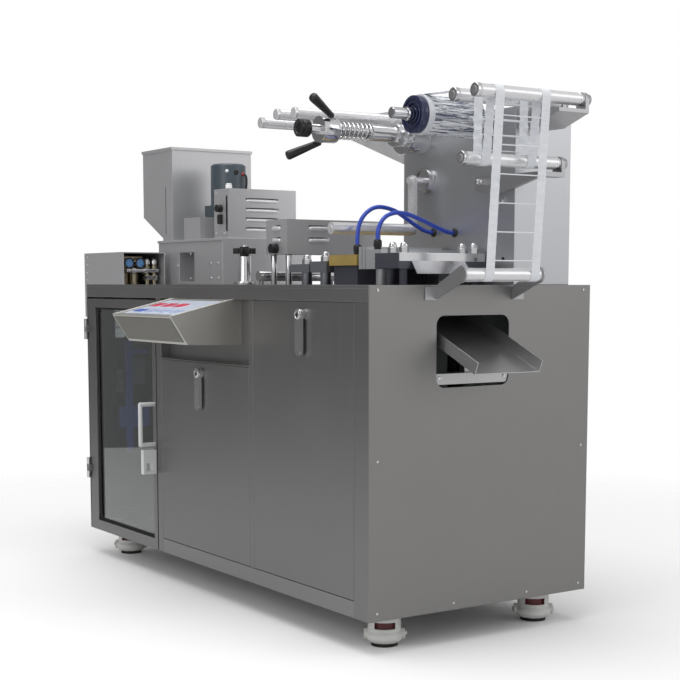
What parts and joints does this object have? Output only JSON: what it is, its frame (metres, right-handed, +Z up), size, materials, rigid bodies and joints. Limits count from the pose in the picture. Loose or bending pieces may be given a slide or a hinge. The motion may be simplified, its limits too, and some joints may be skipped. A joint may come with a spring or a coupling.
{
  "type": "blister packing machine",
  "caption": "Flat-bed blister packing machine: stainless cabinet on levelling casters with tablet hopper, film stations, reel tower, waste film rollers, control box and glass door.",
  "frame": {"origin": "on the floor, under the middle of the machine's bounding box", "axes": "+X towards the discharge end, -Y towards the operator, +Z up"},
  "size_m": [1.5952, 0.796, 1.233],
  "materials": {
    "stainless": "brushed stainless sheet",
    "bright_metal": "bright plated and turned steel",
    "alloy": "machined, satin",
    "dark_metal": "dark satin",
    "cast_grey": "cast, grey",
    "slate_paint": "satin slate grey paint",
    "black_plastic": "moulded, fine grain",
    "black_rubber": "moulded",
    "ring_plastic": "dark red, glossy",
    "keypad": "pale film keypad",
    "gauge_blue": "glossy",
    "brass": "satin",
    "brown_board": "pressed insulating board",
    "hose_blue": "smooth plastic tube",
    "web_film": "punched plastic film",
    "wound_film": "wound plastic film",
    "reel_navy": "satin navy",
    "door_glass": "clear",
    "pull_grey": "light grey"
  },
  "bodies": {
    "machine": {"posts": "stainless", "long_rails": "stainless", "end_rails": "stainless", "floor_pan": "stainless", "deck_plate": "stainless", "end_panel": "stainless", "side_panels": "stainless", "front_panels": "stainless", "door_hinges": "bright_metal", "inner_drive": "dark_metal", "control_box": "stainless", "control_keypad": "keypad", "caster_bodies": "cast_grey", "caster_pads": "black_rubber", "caster_rings": "ring_plastic", "air_cover": "stainless", "air_gauges": "gauge_blue", "air_filters": "brass", "feeder_base": "stainless", "hopper": "stainless", "feeder_motor": "slate_paint", "feeder_covers": "stainless", "knobs": "black_plastic", "support_columns": "bright_metal", "heater_cover": "stainless", "forming_station": "alloy", "sealing_table": "dark_metal", "forming_board": "brown_board", "sealing_block": "alloy", "die_block": "dark_metal", "punch_bar": "bright_metal", "cap_nuts": "bright_metal", "guard_sheet": "bright_metal", "hose_elbows": "black_plastic", "air_hose_1": "hose_blue", "air_hose_2": "hose_blue", "tower": "stainless", "guide_arm": "bright_metal", "tower_bearings": "bright_metal", "roller_arms": "stainless", "roller_brackets": "stainless", "waste_web": "web_film", "discharge_chute": "stainless"},
    "door": {"door_frame": "stainless", "door_glass": "door_glass", "door_handle": "pull_grey"},
    "middle_lever": {"middle_lever": "bright_metal"},
    "right_lever": {"right_lever": "bright_metal"},
    "handwheel": {"handwheel": "black_plastic"},
    "unwind_reel": {"unwind_shaft": "bright_metal", "unwind_spring": "bright_metal", "unwind_handles": "black_plastic"},
    "takeup_reel": {"takeup_reel": "reel_navy", "film_roll": "wound_film"},
    "top_roller": {"top_roller": "bright_metal"},
    "second_roller": {"second_roller": "bright_metal"},
    "mid_roller": {"mid_roller": "bright_metal"},
    "lower_roller": {"lower_roller": "bright_metal"},
    "dancer": {"dancer_arm": "bright_metal"},
    "dancer_roller": {"dancer_roller": "bright_metal"}
  },
  "joints": [
    {"name": "door_swing", "type": "hinge", "parent": "machine", "child": "door", "pos_m": [-0.78365, -0.234, 0.417], "axis": [0, 0, -1], "range_deg": [0, 110]},
    {"name": "middle_lever_turn", "type": "hinge", "parent": "machine", "child": "middle_lever", "pos_m": [-0.08015, -0.235, 0.571], "axis": [0, 1, 0], "range_deg": [0, 90]},
    {"name": "right_lever_turn", "type": "hinge", "parent": "machine", "child": "right_lever", "pos_m": [0.40485, -0.235, 0.729], "axis": [0, 1, 0], "range_deg": [0, 90]},
    {"name": "handwheel_turn", "type": "hinge", "parent": "machine", "child": "handwheel", "pos_m": [-0.07265, -0.103, 0.879], "axis": [0, 0, 1], "continuous": true},
    {"name": "unwind_turn", "type": "hinge", "parent": "machine", "child": "unwind_reel", "pos_m": [0.30735, -0.008, 1.152], "axis": [0, 1, 0], "continuous": true},
    {"name": "takeup_turn", "type": "hinge", "parent": "machine", "child": "takeup_reel", "pos_m": [0.53735, 0.042, 1.17], "axis": [0, 1, 0], "continuous": true},
    {"name": "top_roller_turn", "type": "hinge", "parent": "machine", "child": "top_roller", "pos_m": [0.78235, 0.075, 1.195], "axis": [0, 1, 0], "continuous": true},
    {"name": "second_roller_turn", "type": "hinge", "parent": "machine", "child": "second_roller", "pos_m": [0.71035, 0.075, 1.193], "axis": [0, 1, 0], "continuous": true},
    {"name": "mid_roller_turn", "type": "hinge", "parent": "machine", "child": "mid_roller", "pos_m": [0.73835, 0.075, 1.06], "axis": [0, 1, 0], "continuous": true},
    {"name": "lower_roller_turn", "type": "hinge", "parent": "machine", "child": "lower_roller", "pos_m": [0.75535, 0.075, 0.817], "axis": [0, 1, 0], "continuous": true},
    {"name": "dancer_swing", "type": "hinge", "parent": "machine", "child": "dancer", "pos_m": [0.33035, 0.132, 1.044], "axis": [0, 1, 0], "range_deg": [0, 40]},
    {"name": "dancer_roller_turn", "type": "hinge", "parent": "dancer", "child": "dancer_roller", "pos_m": [0.33035, 0.012, 0.926], "axis": [0, 1, 0], "continuous": true}
  ]
}
